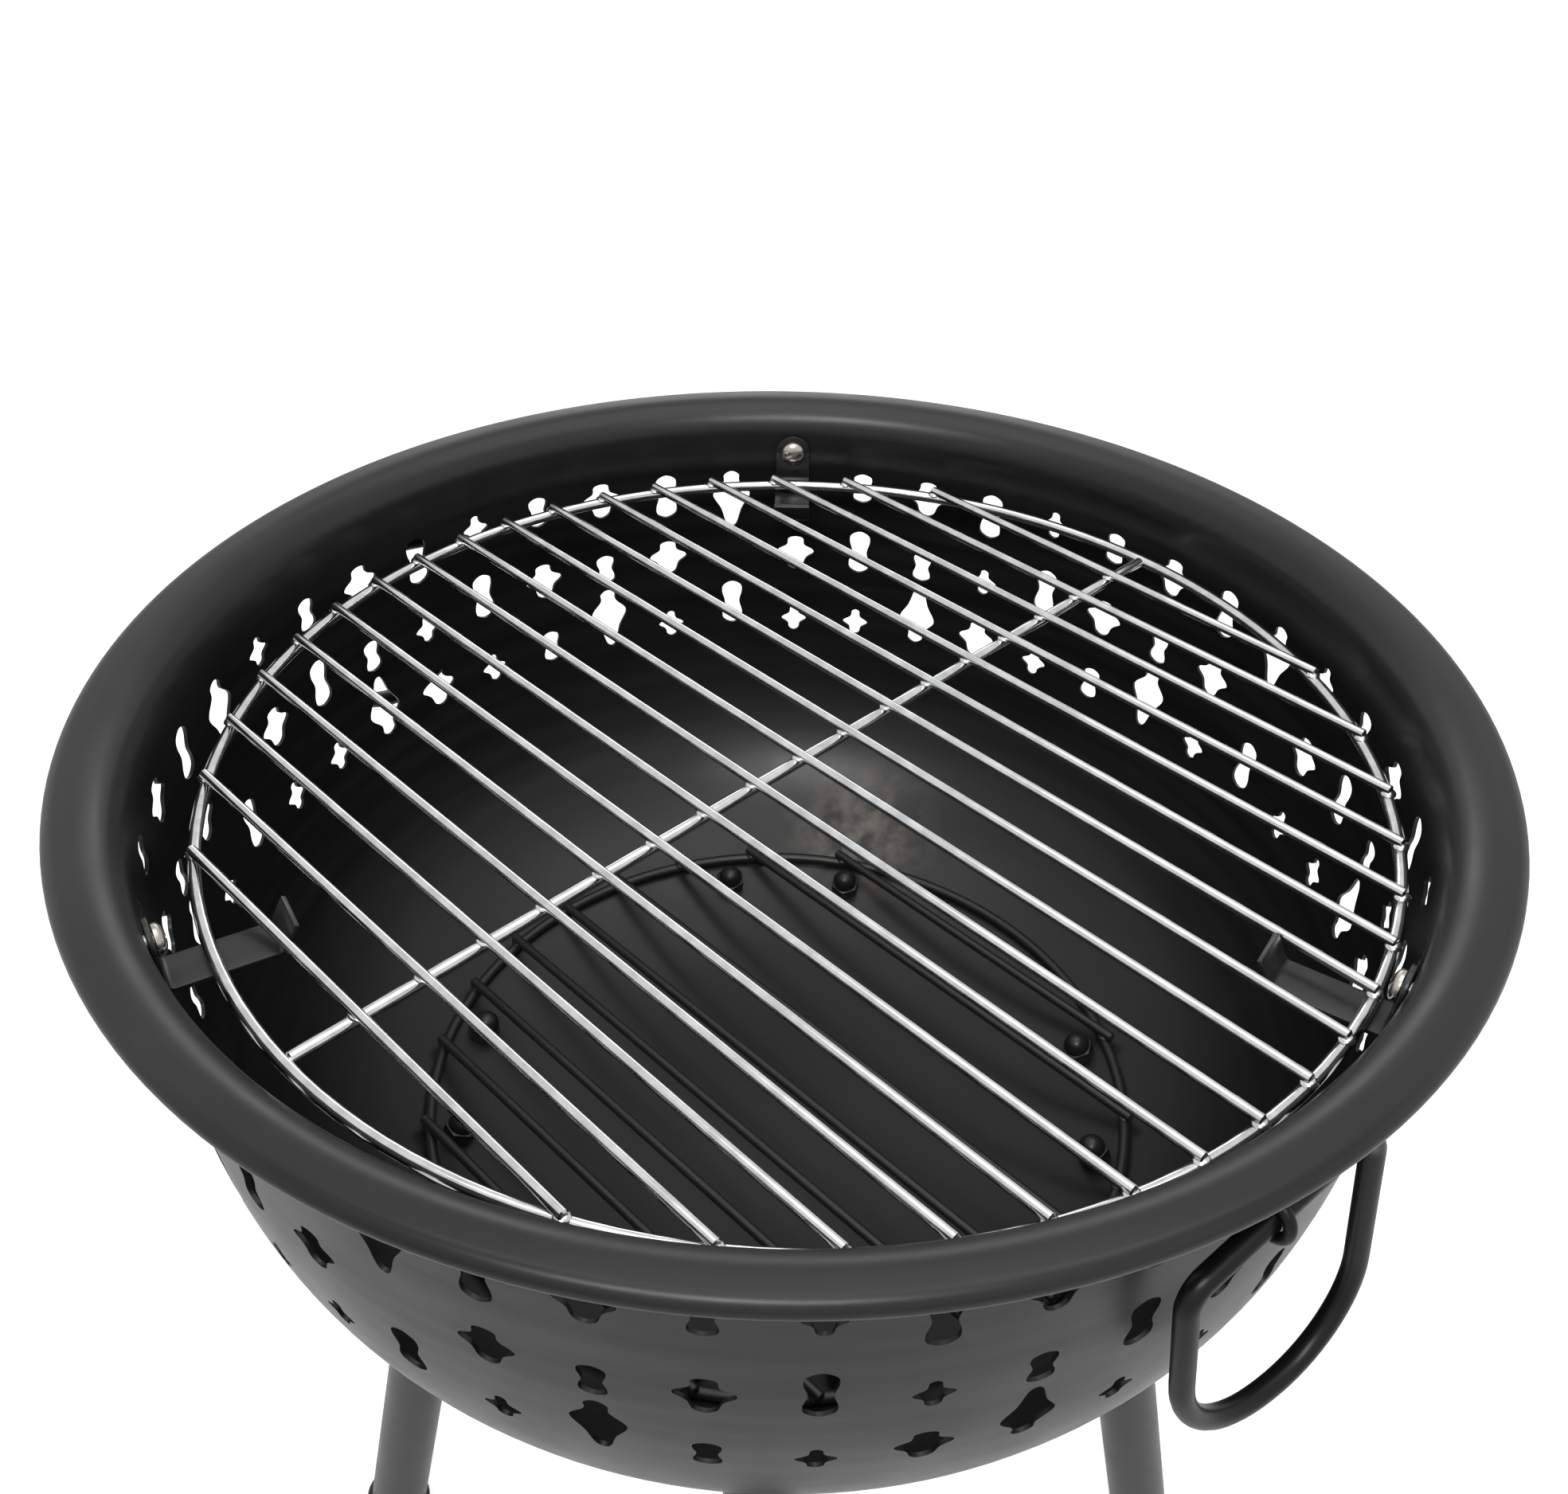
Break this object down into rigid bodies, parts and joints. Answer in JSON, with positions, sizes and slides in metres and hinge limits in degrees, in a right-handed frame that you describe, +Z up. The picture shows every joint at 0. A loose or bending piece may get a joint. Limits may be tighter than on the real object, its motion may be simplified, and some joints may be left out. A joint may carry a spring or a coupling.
{
  "type": "fire pit",
  "caption": "Black bowl fire pit on splayed tube legs, with pierced wall, drop handles, a chromed cooking grate on wall brackets and a charcoal grate.",
  "frame": {"origin": "on the floor, on the axis of the bowl", "axes": "+Z up; one leg stands towards +X and one towards +Y"},
  "size_m": [0.5327, 0.5325, 0.634],
  "materials": {
    "bowl_enamel": "satin black heat-proof paint, warm grey where light falls along it",
    "powder_coat": "satin black powder coat",
    "blackened_steel": "blackened, slightly glossy",
    "chrome_wire": "bright chrome on drawn wire",
    "black_wire": "matt black wire",
    "dark_nickel": "bright, darkened nickel",
    "foot_plastic": "matt black"
  },
  "bodies": {
    "fire_bowl": {"bowl": "bowl_enamel", "bracket_1": "blackened_steel", "bracket_2": "blackened_steel", "bracket_3": "blackened_steel", "bracket_screw_1": "dark_nickel", "bracket_screw_2": "dark_nickel", "bracket_screw_3": "dark_nickel", "bracket_nut_1": "blackened_steel", "bracket_nut_2": "blackened_steel", "bracket_nut_3": "blackened_steel", "leg_1": "powder_coat", "leg_cap_1": "foot_plastic", "leg_plate_1": "powder_coat", "leg_bolt_1_a": "blackened_steel", "dome_nut_1_a": "blackened_steel", "leg_bolt_1_b": "blackened_steel", "dome_nut_1_b": "blackened_steel", "leg_2": "powder_coat", "leg_cap_2": "foot_plastic", "leg_plate_2": "powder_coat", "leg_bolt_2_a": "blackened_steel", "dome_nut_2_a": "blackened_steel", "leg_bolt_2_b": "blackened_steel", "dome_nut_2_b": "blackened_steel", "leg_3": "powder_coat", "leg_cap_3": "foot_plastic", "leg_plate_3": "powder_coat", "leg_bolt_3_a": "blackened_steel", "dome_nut_3_a": "blackened_steel", "leg_bolt_3_b": "blackened_steel", "dome_nut_3_b": "blackened_steel", "leg_4": "powder_coat", "leg_cap_4": "foot_plastic", "leg_plate_4": "powder_coat", "leg_bolt_4_a": "blackened_steel", "dome_nut_4_a": "blackened_steel", "leg_bolt_4_b": "blackened_steel", "dome_nut_4_b": "blackened_steel", "handle_eye_1": "powder_coat", "handle_eye_2": "powder_coat"},
    "cooking_grate": {"cooking_grate": "chrome_wire"},
    "charcoal_grate": {"charcoal_grate": "black_wire"},
    "handle_1": {"handle_1": "powder_coat"},
    "handle_2": {"handle_2": "powder_coat"}
  },
  "joints": [
    {"name": "cooking_grate_lift", "type": "slide", "parent": "fire_bowl", "child": "cooking_grate", "axis": [0, 0, 1], "range_m": [0, 0.12]},
    {"name": "charcoal_grate_lift", "type": "slide", "parent": "fire_bowl", "child": "charcoal_grate", "axis": [0, 0, 1], "range_m": [0, 0.17]},
    {"name": "handle_1_swing", "type": "hinge", "parent": "fire_bowl", "child": "handle_1", "pos_m": [0.14818, -0.20321, 0.595], "axis": [-0.806, -0.5878, -0.0698], "range_deg": [-8, 104]},
    {"name": "handle_2_swing", "type": "hinge", "parent": "fire_bowl", "child": "handle_2", "pos_m": [-0.19153, 0.163, 0.595], "axis": [0.6481, 0.7615, 0], "range_deg": [-8, 104]}
  ]
}
